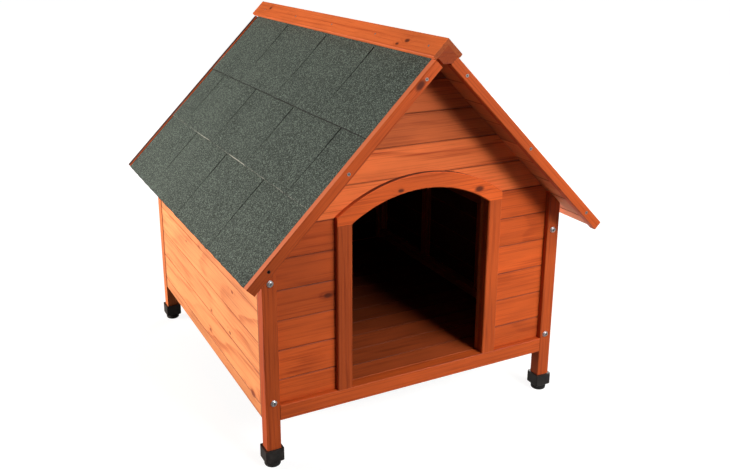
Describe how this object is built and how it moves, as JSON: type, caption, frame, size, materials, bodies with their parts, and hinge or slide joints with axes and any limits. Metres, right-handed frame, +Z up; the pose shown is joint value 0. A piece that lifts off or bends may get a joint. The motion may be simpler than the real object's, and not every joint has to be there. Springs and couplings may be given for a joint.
{
  "type": "dog house",
  "caption": "Raised timber dog house with a steep shingled gable roof, an arched doorway, a boarded floor and levelling screw feet under its corner posts.",
  "frame": {"origin": "on the ground, under the middle of the roof's bounding box", "axes": "+X to the right seen from the doorway side, +Y to the back, +Z up; the doorway faces -Y"},
  "size_m": [0.9574, 1.116, 0.9996],
  "materials": {
    "stained_timber": "planed pine, stained red-brown, satin",
    "stained_boards": "tongued and grooved pine boards, stained red-brown, satin",
    "bare_pine": "planed pine, unstained",
    "floor_pine": "planed pine boards, thinly stained",
    "bitumen_shingle": "bitumen strip faced with green mineral granules",
    "underlay_felt": "bitumen felt",
    "black_plastic": "moulded polypropylene",
    "black_rubber": "moulded rubber",
    "zinc_steel": "bright zinc plate"
  },
  "bodies": {
    "house": {"bargeboard_front_left": "stained_timber", "bargeboard_front_right": "stained_timber", "bargeboard_rear_left": "stained_timber", "bargeboard_rear_right": "stained_timber", "bargeboard_screws": "zinc_steel", "deck_battens": "bare_pine", "door_arch": "stained_timber", "door_jamb_left": "stained_timber", "door_jamb_right": "stained_timber", "floor_bearers": "bare_pine", "floor_boards": "floor_pine", "foot_cap_front_left": "black_plastic", "foot_cap_front_right": "black_plastic", "foot_cap_rear_left": "black_plastic", "foot_cap_rear_right": "black_plastic", "foot_nuts": "zinc_steel", "front_arch_boards": "stained_boards", "front_boards_left": "stained_boards", "front_boards_right": "stained_boards", "front_bottom_rail": "stained_timber", "front_gable_boards": "stained_boards", "gable_battens": "bare_pine", "post_bolts": "zinc_steel", "post_front_left": "stained_timber", "post_front_right": "stained_timber", "post_rear_left": "stained_timber", "post_rear_right": "stained_timber", "post_washers": "zinc_steel", "rail_dowels": "bare_pine", "rear_boards": "stained_boards", "rear_bottom_rail": "stained_timber", "ridge_beam": "stained_timber", "ridge_cap_left": "stained_timber", "ridge_cap_nails": "zinc_steel", "ridge_cap_right": "stained_timber", "roof_deck_left": "bare_pine", "roof_deck_right": "bare_pine", "roof_underlay": "underlay_felt", "shingles_lower_left": "bitumen_shingle", "shingles_lower_right": "bitumen_shingle", "shingles_middle_left": "bitumen_shingle", "shingles_middle_right": "bitumen_shingle", "shingles_upper_left": "bitumen_shingle", "shingles_upper_right": "bitumen_shingle", "side_boards_left": "stained_boards", "side_boards_right": "stained_boards", "side_lower_rail_left": "bare_pine", "side_lower_rail_right": "bare_pine", "side_upper_rail_left": "bare_pine", "side_upper_rail_right": "bare_pine", "wall_battens": "bare_pine"},
    "pad_front_left": {"foot_pad_front_left": "black_rubber"},
    "screw_front_left": {"foot_screw_front_left": "zinc_steel"},
    "pad_front_right": {"foot_pad_front_right": "black_rubber"},
    "screw_front_right": {"foot_screw_front_right": "zinc_steel"},
    "pad_rear_left": {"foot_pad_rear_left": "black_rubber"},
    "screw_rear_left": {"foot_screw_rear_left": "zinc_steel"},
    "pad_rear_right": {"foot_pad_rear_right": "black_rubber"},
    "screw_rear_right": {"foot_screw_rear_right": "zinc_steel"}
  },
  "joints": [
    {"name": "foot_slide_front_left", "type": "slide", "parent": "house", "child": "pad_front_left", "axis": [0, 0, -1], "range_m": [0, 0.012]},
    {"name": "foot_turn_front_left", "type": "hinge", "parent": "pad_front_left", "child": "screw_front_left", "pos_m": [-0.397, -0.458, 0.03], "axis": [0, 0, -1], "range_deg": [0, 3456]},
    {"name": "foot_slide_front_right", "type": "slide", "parent": "house", "child": "pad_front_right", "axis": [0, 0, -1], "range_m": [0, 0.012]},
    {"name": "foot_turn_front_right", "type": "hinge", "parent": "pad_front_right", "child": "screw_front_right", "pos_m": [0.397, -0.458, 0.03], "axis": [0, 0, -1], "range_deg": [0, 3456]},
    {"name": "foot_slide_rear_left", "type": "slide", "parent": "house", "child": "pad_rear_left", "axis": [0, 0, -1], "range_m": [0, 0.012]},
    {"name": "foot_turn_rear_left", "type": "hinge", "parent": "pad_rear_left", "child": "screw_rear_left", "pos_m": [-0.397, 0.44, 0.03], "axis": [0, 0, -1], "range_deg": [0, 3456]},
    {"name": "foot_slide_rear_right", "type": "slide", "parent": "house", "child": "pad_rear_right", "axis": [0, 0, -1], "range_m": [0, 0.012]},
    {"name": "foot_turn_rear_right", "type": "hinge", "parent": "pad_rear_right", "child": "screw_rear_right", "pos_m": [0.397, 0.44, 0.03], "axis": [0, 0, -1], "range_deg": [0, 3456]}
  ],
  "couplings": [
    {"joint": "foot_turn_front_left", "follows": "foot_slide_front_left", "rad_per_m": 5026.5},
    {"joint": "foot_turn_front_right", "follows": "foot_slide_front_right", "rad_per_m": 5026.5},
    {"joint": "foot_turn_rear_left", "follows": "foot_slide_rear_left", "rad_per_m": 5026.5},
    {"joint": "foot_turn_rear_right", "follows": "foot_slide_rear_right", "rad_per_m": 5026.5}
  ]
}
